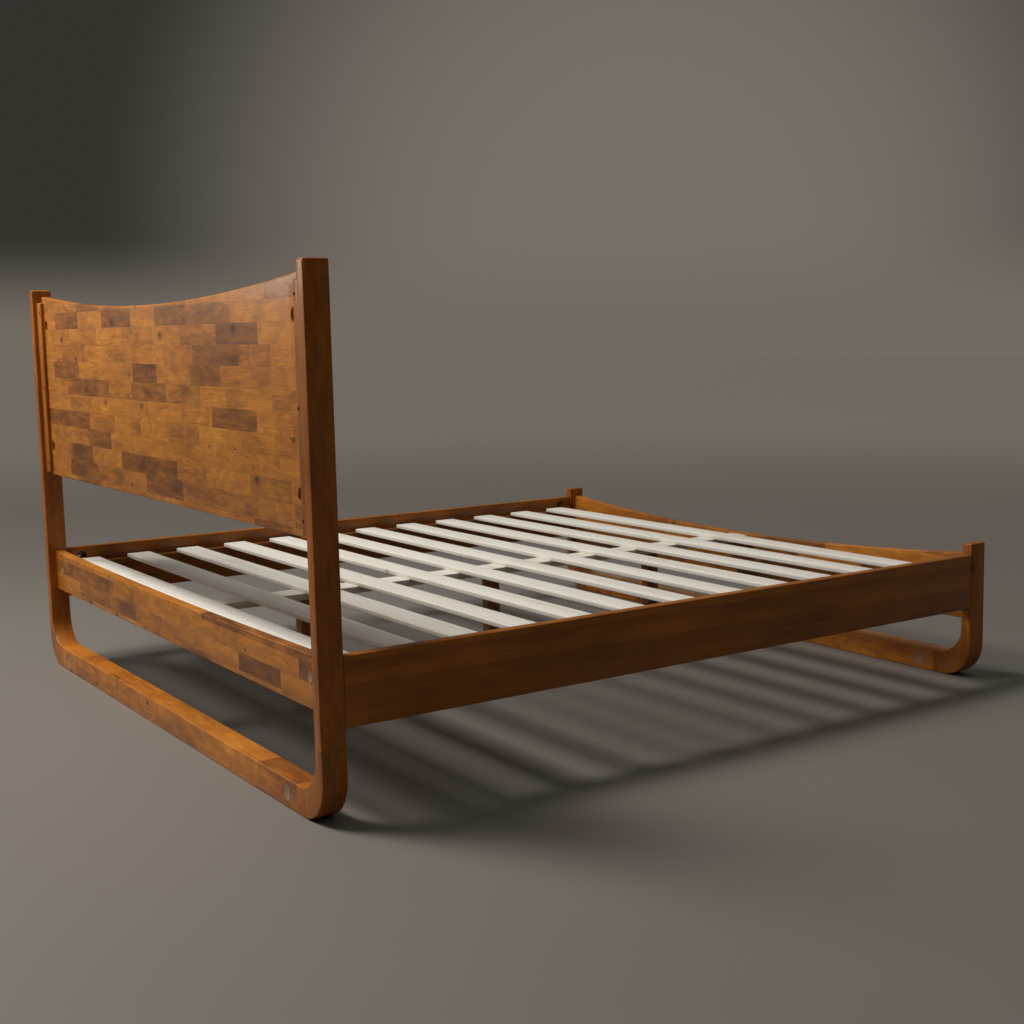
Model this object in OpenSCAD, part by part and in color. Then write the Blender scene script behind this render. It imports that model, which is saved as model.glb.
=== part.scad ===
// Slatted bed on two sled end frames: a low foot, a tall headboard with a hollow top edge,
// stave-built rails, twelve flat slats and a flat centre board on three legs.
// Units are millimetres. The head is +Y. The right-hand side, seen from the foot, is +X.

/* [Overall size] */
// Width over the two side rails
bed_w = 2000; // [1000:10:2200]
// Length over the two end frames
bed_l = 2150; // [1750:10:2600]
// Height of the head posts
head_h = 1200; // [1190:10:1500]
// Height of the foot posts
foot_h = 402; // [380:2:700]

/* [End frames] */
// Depth of posts and runners, along the bed
post_d = 60; // [54:1:80]
// Thickness of the posts, across the bed
post_t = 32; // [30:1:50]
// Height of the runners
runner_h = 67; // [60:1:80]
// Height of the corner blocks, up to the joint with the post
corner_h = 172; // [165:1:205]
// Length of the corner blocks, in to the joint with the runner
corner_l = 132; // [125:1:180]
// Outer radius of the corner blocks
corner_ro = 100; // [60:1:105]
// Inner radius of the corner blocks
corner_ri = 85; // [50:1:90]
// Eased edge around the top of the posts
post_ease = 6; // [2:1:10]

/* [Rails] */
// Thickness of the side rails and of both cross rails
rail_t = 28; // [23:1:34]
// Bottom edge of the side rails, above the floor
rail_z = 211; // [206:1:280]
// Height of the side rails
rail_h = 158; // [140:1:190]
// Setback of the cross rails from the head side of their posts
cross_setback = 24; // [18:1:27]
// Bottom edge of the head rail
head_rail_z = 240; // [210:1:245]
// Height of the head rail at its ends
head_rail_h = 124; // [115:1:150]
// How far the head rail's top edge dips at the middle
head_rail_dip = 9; // [2:1:25]
// Bottom edge of the foot rail
foot_rail_z = 173; // [173:1:210]
// Height of the foot rail at its ends
foot_rail_h = 198; // [165:1:230]
// How far the foot rail's top edge dips at the middle
foot_rail_dip = 46; // [5:1:60]

/* [Headboard] */
// Thickness of the headboard panel
panel_t = 28; // [26:1:32]
// Bottom edge of the panel
panel_z = 616; // [500:2:620]
// Height of the panel at its ends
panel_h = 561; // [420:1:570]
// How far the panel's top edge dips at the middle
panel_dip = 48; // [10:1:80]
// Setback of the panel from the back of the posts
panel_setback = 21; // [16:1:24]
// Space between each end of the panel and its post
panel_end_gap = 27; // [18:1:32]
// Width of the battens
batten_w = 43; // [40:1:55]
// How far the battens stand proud of the back of the panel
batten_lip = 10; // [7:1:12]
// How far the battens stop below the ends of the top edge
batten_stop = 18; // [10:1:40]

/* [Slat base] */
// Width of the slats
slat_w = 78; // [60:1:100]
// Thickness of the slats
slat_t = 12; // [10:1:20]
// Space from the end of a slat to the side rail
slat_side_gap = 14; // [4:1:16]
// Space from the head rail to the first slat
slat_head_gap = 32; // [10:1:60]
// Space from the last slat to the foot rail
slat_foot_gap = 78; // [10:1:110]
// Top of the slats below the top of the side rails
slat_drop = 36; // [26:1:50]
// Width of the ledgers under the slat ends
ledger_w = 25; // [20:1:40]
// Height of the ledgers
ledger_h = 30; // [24:1:45]
// Space left open at each end of a ledger
ledger_end_gap = 75; // [70:1:120]
// Width of the centre board
beam_w = 80; // [60:1:120]
// Thickness of the centre board
beam_t = 20; // [15:1:26]
// Side of the square support legs
leg_s = 40; // [36:1:60]
// Distance between the support legs
leg_pitch = 632; // [400:4:700]

/* [Fixings] */
// Diameter of the studs
stud_d = 8; // [6:1:8]
// Length of stud in a post or a corner block
stud_grip = 22; // [16:1:24]
// Radius of the half-round pockets
pocket_r = 16.5; // [16:0.5:19]
// Distance from a post to the flat wall of a headboard pocket
panel_pocket_in = 49; // [47:1:80]
// Distance from a post to the flat wall of a side-rail pocket
side_pocket_in = 37; // [30:1:45]
// Diameter of the runner pockets and their caps
cap_d = 40; // [36:1:48]
// Distance from a runner's end to the middle of its pocket
cap_in = 55; // [50:1:80]
// Diameter of the cross-rail pockets and their caps
cross_cap_d = 26; // [24:1:32]
// Distance from a post to the middle of a cross-rail pocket
cross_cap_in = 63; // [45:1:80]
// Diameter of the dowels
dowel_d = 10; // [8:1:10]
// Length of the dowels
dowel_l = 40; // [30:1:46]
// Clearance of studs, dowels, pins and screws in their bores, on the diameter
bore_gap = 0.4; // [0.2:0.1:0.8]

/* [Hidden] */
fn = 72;
bow_steps = 40;
slat_count = 12;
e = 1;
hw = bed_w / 2;
hl = bed_l / 2;
post_in = hw - post_t;
rail_in = hw - rail_t;
rail_top = rail_z + rail_h;
rail_end = hl - post_d;
head_y = hl - cross_setback;
foot_y = -rail_end - cross_setback;
head_in_y = head_y - rail_t;
slat_top = rail_top - slat_drop;
slat_z = slat_top - slat_t;
slat_half = rail_in - slat_side_gap;
slat_first_y = head_in_y - slat_head_gap - slat_w / 2;
slat_last_y = foot_y + slat_foot_gap + slat_w / 2;
slat_pitch = (slat_first_y - slat_last_y) / (slat_count - 1);
slat_ease = 4;
beam_z = slat_z - beam_t;
beam_gap = 2;
block_half = beam_w / 2 + 15;
block_d = 26;
block_h = 34;
panel_y = hl - panel_setback;
panel_half = post_in - panel_end_gap;
panel_top = panel_z + panel_h;
batten_core = panel_end_gap - 1;
batten_z0 = panel_z + 8;
batten_z1 = panel_top - batten_stop;
cap_t = 3;
pin_in = 26;
pin_d = 7;
pin_l = 14;
pin_drop = 21;
washer_d = 16;
washer_t = 2;
nut_af = 13;
pocket_deep = max(rail_t, panel_t) / 2 + washer_d / 2 + 0.5;
nut_h = 6.5;
stud_tail = washer_t + nut_h + 3;
moon_t = 6;
moon_l = 16;
screw_d = 4;
screw_head_d = 8;
screw_head_h = 3;
ledger_screws_n = 8;

// Where the studs run. Each value is a height, or [y, z] for a stud that runs along X.
panel_stud_z = [panel_z + 92, panel_top - 90];
side_stud_z = [rail_z + 42, rail_top - 31];
cross_stud_z = rail_z + 100;
side_dowel_z = [rail_z + 20, rail_z + 74];
cross_dowel_z = cross_stud_z - 42;
runner_stud_z = runner_h / 2;
runner_dowel_z = [0.2 * runner_h, 0.8 * runner_h];
panel_stud_y = panel_y - panel_t / 2;
head_cross_y = head_y - rail_t / 2;
foot_cross_y = foot_y - rail_t / 2;

WALNUT = [0.36, 0.20, 0.09];
AMBER = [0.62, 0.38, 0.15];
PALE = [0.80, 0.78, 0.72];
STEEL = [0.62, 0.62, 0.60];
CAP = [0.64, 0.53, 0.41];
BEECH = [0.80, 0.64, 0.44];

// ---- helpers ---------------------------------------------------------------------------

// A right-hand piece, kept (s = 1) or mirrored to the left (s = -1).
module side(s) {
    if (s > 0) children();
    else mirror([1, 0, 0]) children();
}
module both_sides() {
    side(1) children();
    side(-1) children();
}

// A box from its least corner to its greatest corner.
module box(a, b) {
    translate(a) cube(b - a);
}

// Rods that start at a point and run along one axis.
module rod_x(d, l, at) {
    translate(at) rotate([0, 90, 0]) cylinder(d = d, h = l, $fn = fn);
}
module rod_y(d, l, at) {
    translate(at) rotate([-90, 0, 0]) cylinder(d = d, h = l, $fn = fn);
}
module rod_z(d, l, at) {
    translate(at) cylinder(d = d, h = l, $fn = fn);
}

// Board on edge with its back face at y = 0 and a top edge that dips in one large arc.
module hollow_board(half, h, dip, t) {
    r = (half * half + dip * dip) / (2 * dip);
    a = asin(half / r);
    rotate([90, 0, 0]) linear_extrude(t) polygon(concat(
        [[-half, 0], [half, 0]],
        [for (i = [0 : bow_steps]) let (b = a * (1 - 2 * i / bow_steps))
            [r * sin(b), h - dip + r * (1 - cos(b))]]
    ));
}

// Half-round pocket sunk along -Y from a face at y = 0. The flat wall is at x = 0, the bulge at -X.
module pocket() {
    intersection() {
        translate([-0.72 * pocket_r, e, 0]) rotate([90, 0, 0])
            cylinder(r = pocket_r, h = pocket_deep + e, $fn = fn);
        box([-3 * pocket_r, -pocket_deep, -2 * pocket_r], [0, 2 * e, 2 * pocket_r]);
    }
}

// Washer and nut on a stud along X. The washer bears on a wall at x = 0 and the nut is at -X.
module nut_on_wall() {
    difference() {
        union() {
            rod_x(washer_d, washer_t, [-washer_t, 0, 0]);
            translate([-washer_t - nut_h, 0, 0]) rotate([0, 90, 0])
                cylinder(d = nut_af / cos(30), h = nut_h, $fn = 6);
        }
        rod_x(stud_d + bore_gap / 2, stud_tail + 2 * e, [-stud_tail - e, 0, 0]);
    }
}

// Half-moon washer and nut for a round pocket of diameter d, on a stud along X.
module nut_in_round(d) {
    r = d / 2;
    reach = 0.6 * r;
    flat = sqrt(r * r - reach * reach) - moon_t / 2;
    difference() {
        union() {
            intersection() {
                rod_y(d, moon_l, [0, -moon_l / 2, 0]);
                box([flat, -moon_l, -reach], [r + e, moon_l, reach]);
            }
            translate([flat - nut_h, 0, 0]) rotate([0, 90, 0])
                cylinder(d = nut_af / cos(30), h = nut_h, $fn = 6);
        }
        rod_x(stud_d + bore_gap / 2, 2 * r, [-r, 0, 0]);
    }
}

// Countersunk screw. The face of the head is at z = 0 and the shank runs along -Z.
module screw(l) {
    rotate_extrude($fn = 32) polygon([
        [0, 0], [screw_head_d / 2, 0], [screw_d / 2, -screw_head_h], [screw_d / 2, 3 - l], [0, -l]
    ]);
}
module screw_hole(l) {
    g = bore_gap / 2;
    rotate_extrude($fn = 32) polygon([
        [0, e], [screw_head_d / 2 + g + e, e], [screw_d / 2 + g, -screw_head_h - g],
        [screw_d / 2 + g, 3 - l], [0, -l - g]
    ]);
}

// ---- shared joints: each is drawn once as a rod and once, a little wider, as its bore -------

module panel_stud_lines(d) {
    both_sides() for (z = panel_stud_z)
        rod_x(d, panel_pocket_in + stud_tail + stud_grip,
            [post_in - panel_pocket_in - stud_tail, panel_stud_y, z]);
}
module cross_stud_lines(d) {
    both_sides() for (y = [head_cross_y, foot_cross_y])
        rod_x(d, cross_cap_in + stud_grip, [post_in - cross_cap_in, y, cross_stud_z]);
}
module side_stud_lines(d) {
    l = side_pocket_in + stud_tail + stud_grip;
    both_sides() for (z = side_stud_z) {
        rod_y(d, l, [hw - rail_t / 2, rail_end + stud_grip - l, z]);
        rod_y(d, l, [hw - rail_t / 2, -rail_end - stud_grip, z]);
    }
}
module runner_stud_lines(d) {
    both_sides() for (y = [-1, 1])
        rod_x(d, cap_in + stud_grip, [hw - corner_l - cap_in, y * (hl - post_d / 2), runner_stud_z]);
}
module corner_dowel_lines(d, l, ys) {
    both_sides() for (y = ys) {
        for (k = [-0.22, 0.22])
            rod_z(d, l, [hw - post_t / 2, y * (hl - post_d / 2) + k * post_d, corner_h - l / 2]);
        for (z = runner_dowel_z)
            rod_x(d, l, [hw - corner_l - l / 2, y * (hl - post_d / 2), z]);
    }
}
module rail_dowel_lines(d, l) {
    both_sides() {
        for (z = side_dowel_z, y = [-1, 1])
            rod_y(d, l, [hw - rail_t / 2, y * rail_end - l / 2, z]);
        for (y = [head_cross_y, foot_cross_y])
            rod_x(d, l, [post_in - l / 2, y, cross_dowel_z]);
    }
}
module frame_bores() {
    panel_stud_lines(stud_d + bore_gap);
    cross_stud_lines(stud_d + bore_gap);
    side_stud_lines(stud_d + bore_gap);
    runner_stud_lines(stud_d + bore_gap);
    corner_dowel_lines(dowel_d + bore_gap, dowel_l + 2, [-1, 1]);
    rail_dowel_lines(dowel_d + bore_gap, dowel_l + 2);
}

// Places for the screws, each with the outside of the head at z = 0.
module batten_screw_places() {
    x = post_in - (panel_end_gap + batten_w) / 2;
    both_sides() for (z = [batten_z0 + 30, (batten_z0 + batten_z1) / 2, batten_z1 - 30])
        translate([x, panel_y + batten_lip, z]) rotate([-90, 0, 0]) children();
}
module ledger_screw_places() {
    run = 2 * (rail_end - ledger_end_gap) - 120;
    both_sides() for (i = [0 : ledger_screws_n - 1])
        translate([rail_in - ledger_w, -run / 2 + run * i / (ledger_screws_n - 1), slat_z - ledger_h / 2])
            rotate([0, -90, 0]) children();
}
module beam_screw_places() {
    for (x = [-0.28, 0.28], y = [head_in_y - block_d / 2, foot_y + block_d / 2])
        translate([x * beam_w, y, beam_z + beam_t]) children();
}
module block_screw_places() {
    both_sides() {
        translate([0.75 * block_half, head_in_y - block_d, beam_z - block_h / 2])
            rotate([90, 0, 0]) children();
        translate([0.75 * block_half, foot_y + block_d, beam_z - block_h / 2])
            rotate([-90, 0, 0]) children();
    }
}
module leg_screw_places() {
    for (k = [-1, 0, 1], x = [-0.25, 0.25])
        translate([x * leg_s, k * leg_pitch, beam_z + beam_t]) children();
}

// ---- end frames --------------------------------------------------------------------------

// Post on its corner block, with its least y at y, eased on four sides at the top.
module post(s, y, h) {
    c = post_ease;
    difference() {
        side(s) intersection() {
            translate([0, y + post_d, 0]) rotate([90, 0, 0]) linear_extrude(post_d) polygon([
                [post_in, corner_h], [hw, corner_h], [hw, h - c], [hw - c, h],
                [post_in + c, h], [post_in, h - c]
            ]);
            translate([post_in, 0, 0]) rotate([90, 0, 90]) linear_extrude(post_t) polygon([
                [y, corner_h], [y + post_d, corner_h], [y + post_d, h - c], [y + post_d - c, h],
                [y + c, h], [y, h - c]
            ]);
        }
        frame_bores();
    }
}

// Outline of a right-hand corner block, seen from the foot.
module corner_outline() {
    x0 = hw - corner_l;
    difference() {
        translate([x0, 0]) square([corner_l, corner_h]);
        difference() {
            translate([hw - corner_ro, -e]) square([corner_ro + e, corner_ro + e]);
            translate([hw - corner_ro, corner_ro]) circle(r = corner_ro, $fn = fn);
        }
        translate([post_in - corner_ri, runner_h + corner_ri]) circle(r = corner_ri, $fn = fn);
        translate([x0 - e, runner_h + corner_ri]) square([corner_l - post_t + e, corner_h]);
        if (corner_l - post_t > corner_ri)
            translate([x0 - e, runner_h]) square([corner_l - post_t - corner_ri + e, corner_h]);
    }
}
module corner(s, y) {
    difference() {
        side(s) translate([0, y + post_d, 0]) rotate([90, 0, 0]) linear_extrude(post_d)
            corner_outline();
        frame_bores();
    }
}

// Runner with a round pocket near each end, open towards the head.
module runner(y) {
    difference() {
        box([corner_l - hw, y, 0], [hw - corner_l, y + post_d, runner_h]);
        frame_bores();
        both_sides() {
            rod_y(cap_d, post_d / 2 + moon_l / 2 + 1,
                [hw - corner_l - cap_in, y + post_d / 2 - moon_l / 2 - 1 + e, runner_stud_z]);
            rod_y(pin_d + bore_gap, pin_l + 2 * e,
                [hw - corner_l - pin_in, y + post_d - pin_l - e, runner_stud_z]);
        }
    }
}

module head_post(s) { color(AMBER) post(s, rail_end, head_h); }
module foot_post(s) { color(AMBER) post(s, -hl, foot_h); }
module head_corner(s) { color(AMBER) corner(s, rail_end); }
module foot_corner(s) { color(AMBER) corner(s, -hl); }
module head_runner() { color(AMBER) runner(rail_end); }
module foot_runner() { color(AMBER) runner(-hl); }

// ---- headboard ---------------------------------------------------------------------------

module headboard_panel() {
    color(AMBER) difference() {
        translate([0, panel_y, panel_z]) hollow_board(panel_half, panel_h, panel_dip, panel_t);
        panel_stud_lines(stud_d + bore_gap);
        both_sides() for (z = panel_stud_z)
            translate([post_in - panel_pocket_in, panel_y, z]) pocket();
        batten_screw_places() screw_hole(batten_lip + 15);
    }
}

// Core in the gap between post and panel, with a lip that laps behind the panel.
module headboard_batten(s) {
    back = panel_y + batten_lip;
    front = panel_y - panel_t;
    color(AMBER) difference() {
        side(s) translate([0, 0, batten_z0]) linear_extrude(batten_z1 - batten_z0) polygon([
            [post_in, front], [post_in, back], [post_in - batten_w, back],
            [post_in - batten_w, panel_y], [post_in - batten_core, panel_y],
            [post_in - batten_core, front]
        ]);
        panel_stud_lines(stud_d + bore_gap);
        batten_screw_places() screw_hole(batten_lip + 15);
    }
}

// ---- rails -------------------------------------------------------------------------------

module cross_rail(y, z, h, dip) {
    difference() {
        translate([0, y, z]) hollow_board(post_in, h, dip, rail_t);
        cross_stud_lines(stud_d + bore_gap);
        rail_dowel_lines(dowel_d + bore_gap, dowel_l + 2);
        both_sides() {
            rod_y(cross_cap_d, rail_t / 2 + moon_l / 2 + 1 + e,
                [post_in - cross_cap_in, y - rail_t / 2 - moon_l / 2 - 1, cross_stud_z]);
            rod_y(pin_d + bore_gap, pin_l + 2 * e,
                [post_in - cross_cap_in + 2, y - pin_l - e, cross_stud_z - pin_drop]);
        }
        block_screw_places() screw_hole(block_d + 14);
    }
}
module head_rail() { color(AMBER) cross_rail(head_y, head_rail_z, head_rail_h, head_rail_dip); }
module foot_rail() { color(AMBER) cross_rail(foot_y, foot_rail_z, foot_rail_h, foot_rail_dip); }

module side_rail(s) {
    color(AMBER) difference() {
        side(s) box([rail_in, -rail_end, rail_z], [hw, rail_end, rail_top]);
        side_stud_lines(stud_d + bore_gap);
        rail_dowel_lines(dowel_d + bore_gap, dowel_l + 2);
        both_sides() for (z = side_stud_z) {
            translate([rail_in, rail_end - side_pocket_in, z]) rotate(90) pocket();
            translate([rail_in, side_pocket_in - rail_end, z]) mirror([0, 1, 0]) rotate(90) pocket();
        }
        ledger_screw_places() screw_hole(ledger_w + 13);
    }
}

// ---- slat base ---------------------------------------------------------------------------

module slat_ledger(s) {
    yl = rail_end - ledger_end_gap;
    color(WALNUT) difference() {
        side(s) box([rail_in - ledger_w, -yl, slat_z - ledger_h], [rail_in, yl, slat_z]);
        ledger_screw_places() screw_hole(ledger_w + 13);
    }
}

module slat(i) {
    c = slat_ease;
    y0 = slat_first_y - (i - 1) * slat_pitch - slat_w / 2;
    y1 = y0 + slat_w;
    color(PALE) translate([0, 0, slat_z]) linear_extrude(slat_t) polygon([
        [c - slat_half, y0], [slat_half - c, y0], [slat_half, y0 + c], [slat_half, y1 - c],
        [slat_half - c, y1], [c - slat_half, y1], [-slat_half, y1 - c], [-slat_half, y0 + c]
    ]);
}

module centre_beam() {
    color(PALE) difference() {
        box([-beam_w / 2, foot_y + beam_gap, beam_z], [beam_w / 2, head_in_y - beam_gap, slat_z]);
        beam_screw_places() screw_hole(beam_t + 22);
        leg_screw_places() screw_hole(beam_t + 40);
    }
}

module beam_block(y) {
    color(WALNUT) difference() {
        box([-block_half, y, beam_z - block_h], [block_half, y + block_d, beam_z]);
        beam_screw_places() screw_hole(beam_t + 22);
        block_screw_places() screw_hole(block_d + 14);
    }
}

module support_leg(i) {
    y = (2 - i) * leg_pitch;
    color(WALNUT) difference() {
        box([-leg_s / 2, y - leg_s / 2, 0], [leg_s / 2, y + leg_s / 2, beam_z]);
        leg_screw_places() screw_hole(beam_t + 40);
    }
}

// ---- fixings -----------------------------------------------------------------------------

module panel_studs() { color(STEEL) panel_stud_lines(stud_d); }
module cross_rail_studs() { color(STEEL) cross_stud_lines(stud_d); }
module side_rail_studs() { color(STEEL) side_stud_lines(stud_d); }
module runner_studs() { color(STEEL) runner_stud_lines(stud_d); }

module panel_nuts() {
    color(STEEL) both_sides() for (z = panel_stud_z)
        translate([post_in - panel_pocket_in, panel_stud_y, z]) nut_on_wall();
}
module cross_rail_nuts() {
    color(STEEL) both_sides() for (y = [head_cross_y, foot_cross_y])
        translate([post_in - cross_cap_in, y, cross_stud_z]) nut_in_round(cross_cap_d);
}
module side_rail_nuts() {
    color(STEEL) both_sides() for (z = side_stud_z) {
        translate([hw - rail_t / 2, rail_end - side_pocket_in, z]) rotate(90) nut_on_wall();
        translate([hw - rail_t / 2, side_pocket_in - rail_end, z]) rotate(-90) nut_on_wall();
    }
}
module runner_nuts() {
    color(STEEL) both_sides() for (y = [-1, 1])
        translate([hw - corner_l - cap_in, y * (hl - post_d / 2), runner_stud_z]) nut_in_round(cap_d);
}
module runner_caps(y) {
    color(CAP) both_sides()
        rod_y(cap_d, cap_t, [hw - corner_l - cap_in, y + post_d - cap_t, runner_stud_z]);
}
module cross_rail_caps() {
    color(CAP) both_sides() for (y = [head_y, foot_y])
        rod_y(cross_cap_d, cap_t, [post_in - cross_cap_in, y - cap_t, cross_stud_z]);
}
module fitting_pins() {
    color(STEEL) both_sides() {
        for (y = [hl, post_d - hl])
            rod_y(pin_d, pin_l, [hw - corner_l - pin_in, y - pin_l, runner_stud_z]);
        for (y = [head_y, foot_y])
            rod_y(pin_d, pin_l, [post_in - cross_cap_in + 2, y - pin_l, cross_stud_z - pin_drop]);
    }
}
module corner_dowels_head() { color(BEECH) corner_dowel_lines(dowel_d, dowel_l, [1]); }
module corner_dowels_foot() { color(BEECH) corner_dowel_lines(dowel_d, dowel_l, [-1]); }
module rail_dowels() { color(BEECH) rail_dowel_lines(dowel_d, dowel_l); }

module batten_screws() { color(STEEL) batten_screw_places() screw(batten_lip + 15); }
module ledger_screws() { color(STEEL) ledger_screw_places() screw(ledger_w + 13); }
module leg_screws() { color(STEEL) leg_screw_places() screw(beam_t + 40); }
module beam_screws() {
    color(STEEL) beam_screw_places() screw(beam_t + 22);
    color(STEEL) block_screw_places() screw(block_d + 14);
}

// ---- assembly ----------------------------------------------------------------------------

head_post(-1);  // head_post_left
head_post(1);  // head_post_right
head_corner(-1);  // head_corner_left
head_corner(1);  // head_corner_right
head_runner();
foot_post(-1);  // foot_post_left
foot_post(1);  // foot_post_right
foot_corner(-1);  // foot_corner_left
foot_corner(1);  // foot_corner_right
foot_runner();
headboard_panel();
headboard_batten(-1);  // headboard_batten_left
headboard_batten(1);  // headboard_batten_right
head_rail();
foot_rail();
side_rail(-1);  // side_rail_left
side_rail(1);  // side_rail_right
slat_ledger(-1);  // slat_ledger_left
slat_ledger(1);  // slat_ledger_right
slat(1);  // slat_01
slat(2);  // slat_02
slat(3);  // slat_03
slat(4);  // slat_04
slat(5);  // slat_05
slat(6);  // slat_06
slat(7);  // slat_07
slat(8);  // slat_08
slat(9);  // slat_09
slat(10);  // slat_10
slat(11);  // slat_11
slat(12);  // slat_12
centre_beam();
beam_block(head_in_y - block_d);  // beam_block_head
beam_block(foot_y);  // beam_block_foot
support_leg(1);  // support_leg_1
support_leg(2);  // support_leg_2
support_leg(3);  // support_leg_3
panel_studs();
panel_nuts();
side_rail_studs();
side_rail_nuts();
cross_rail_studs();
cross_rail_nuts();
runner_studs();
runner_nuts();
runner_caps(rail_end);  // runner_caps_head
runner_caps(-hl);  // runner_caps_foot
cross_rail_caps();
fitting_pins();
corner_dowels_head();
corner_dowels_foot();
rail_dowels();
batten_screws();
ledger_screws();
beam_screws();
leg_screws();
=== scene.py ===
# %% [markdown]
# # A slatted bed on two sled end frames
# The bed stands on two end frames. Each one is a runner on the floor, two curved corner
# blocks and two posts. A headboard hangs between the tall posts, and loose slats lie inside
# a frame of four rails.
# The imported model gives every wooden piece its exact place. This lesson builds each piece
# again with the small things a joiner adds: eased edges, bolt pockets and joint lines.

# %% Load the frame
import math

import bmesh
import bpy
from mathutils import Matrix, Vector


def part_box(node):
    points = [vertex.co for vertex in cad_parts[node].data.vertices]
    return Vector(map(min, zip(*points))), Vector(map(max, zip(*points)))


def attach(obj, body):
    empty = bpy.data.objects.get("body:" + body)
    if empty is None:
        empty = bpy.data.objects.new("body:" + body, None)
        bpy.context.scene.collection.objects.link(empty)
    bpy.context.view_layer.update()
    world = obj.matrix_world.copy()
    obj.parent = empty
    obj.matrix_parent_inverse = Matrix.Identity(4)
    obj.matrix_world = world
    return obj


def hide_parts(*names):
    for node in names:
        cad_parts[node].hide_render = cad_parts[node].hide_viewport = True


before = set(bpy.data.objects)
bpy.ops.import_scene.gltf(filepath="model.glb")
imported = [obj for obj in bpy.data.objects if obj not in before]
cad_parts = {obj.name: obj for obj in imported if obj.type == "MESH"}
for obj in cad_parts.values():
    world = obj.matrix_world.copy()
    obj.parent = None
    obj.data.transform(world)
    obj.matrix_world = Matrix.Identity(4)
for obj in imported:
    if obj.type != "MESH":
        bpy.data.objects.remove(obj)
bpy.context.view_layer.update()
scene = bpy.context.scene

# %% [markdown]
# ## Where a piece goes
# Every length comes from the imported model, so nothing is fitted by eye. A finished piece
# rides on the one body of the bed and stands for its imported node.

# %% Measures and the last step of every piece
MM = 0.001
EDGE = 3.2 * MM          # radius a router leaves on the rails and the board
FRAME_EDGE = 3.0 * MM    # radius on the sled frames
OVERRUN = 5 * MM         # how far a drill starts outside the face it enters
POCKET = 16.5 * MM       # radius of the half-round bolt pockets
POCKET_DEEP = 22 * MM    # how far such a pocket goes into a board
POCKET_FLAT = 0.72       # place of its flat wall, as a share of the radius
CAP_DEEP = 5 * MM        # depth of the round recess that a cap sits in
CAP_GAP = 0.4 * MM       # space round a cap
PIN_BORE = 3.9 * MM      # radius of the bore round a fitting pin
PIN_DEEP = 9 * MM        # depth of that bore


def span(node):
    low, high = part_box(node)
    return low, high


def keep(obj, node, material, extra=()):
    """Hands a finished piece to the frame and gives it its finish."""
    obj.data.materials.clear()
    obj.data.materials.append(material)
    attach(obj, "root")
    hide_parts(node, *extra)
    print(f"{obj.name}: {len(obj.data.polygons)} faces, stands for {node}")
    return obj


# %% [markdown]
# ## Three ways to make a board
# A straight board is an outline pushed along an axis, with its edges rounded by a bevel.
# A board that changes along its length, such as a hollow-topped rail or a bent corner, is
# a row of rings joined by skin. A pocket or a screw hole is cut out afterwards with a
# boolean, as a router or a drill would.

# %% Helpers that make meshes
def mesh_object(name, verts, faces):
    mesh = bpy.data.meshes.new(name)
    mesh.from_pydata([tuple(v) for v in verts], [], faces)
    obj = bpy.data.objects.new(name, mesh)
    scene.collection.objects.link(obj)
    bm = bmesh.new()
    bm.from_mesh(mesh)
    bmesh.ops.recalc_face_normals(bm, faces=bm.faces)
    bm.to_mesh(mesh)
    bm.free()
    return obj


def skin(name, rings):
    """Joins rings of points that all have the same count, and closes both ends."""
    count = len(rings[0])
    verts = [point for ring in rings for point in ring]
    faces = []
    for i in range(len(rings) - 1):
        a, b = i * count, (i + 1) * count
        for k in range(count):
            n = (k + 1) % count
            faces.append((a + k, a + n, b + n, b + k))
    faces.append(tuple(range(count - 1, -1, -1)))
    last = (len(rings) - 1) * count
    faces.append(tuple(range(last, last + count)))
    return mesh_object(name, verts, faces)


def rounded(u0, u1, v0, v1, radius, steps=4):
    """Corner points of a rectangle with round corners, counter-clockwise."""
    points = []
    radius = max(min(radius, (u1 - u0) / 2.01, (v1 - v0) / 2.01), 1e-5)
    centres = ((u1 - radius, v1 - radius, 0), (u0 + radius, v1 - radius, 90),
               (u0 + radius, v0 + radius, 180), (u1 - radius, v0 + radius, 270))
    for cu, cv, start in centres:
        for k in range(steps + 1):
            angle = math.radians(start + 90 * k / steps)
            points.append((cu + radius * math.cos(angle), cv + radius * math.sin(angle)))
    return points


def settle(obj, angle=40):
    """Applies the modifiers on a piece and shades its round parts smooth."""
    depsgraph = bpy.context.evaluated_depsgraph_get()
    baked = bpy.data.meshes.new_from_object(obj.evaluated_get(depsgraph))
    obj.modifiers.clear()
    obj.data = baked
    baked.name = obj.name
    for face in baked.polygons:
        face.use_smooth = True
    baked.set_sharp_from_angle(angle=math.radians(angle))
    return obj


def ease(obj, radius, segments=3, angle=35):
    """Rounds every hard edge of a piece, the way a router or a sanding block does."""
    bevel = obj.modifiers.new("eased edges", "BEVEL")
    bevel.width = radius
    bevel.segments = segments
    bevel.limit_method = "ANGLE"
    bevel.angle_limit = math.radians(angle)
    bevel.harden_normals = False
    return obj


def prism(name, outline, place, length):
    """An outline of (u, v) points pushed along w. place(u, v, w) gives the point in space."""
    rings = [[place(u, v, w) for u, v in outline] for w in (0.0, length)]
    return skin(name, rings)


def cut(obj, cutters):
    """Takes each cutter out of a piece, then removes the cutters."""
    for cutter in cutters:
        hole = obj.modifiers.new("cut", "BOOLEAN")
        hole.operation = "DIFFERENCE"
        hole.solver = "EXACT"
        hole.object = cutter
    settle(obj)
    for cutter in cutters:
        bpy.data.objects.remove(cutter)
    return obj


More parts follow.
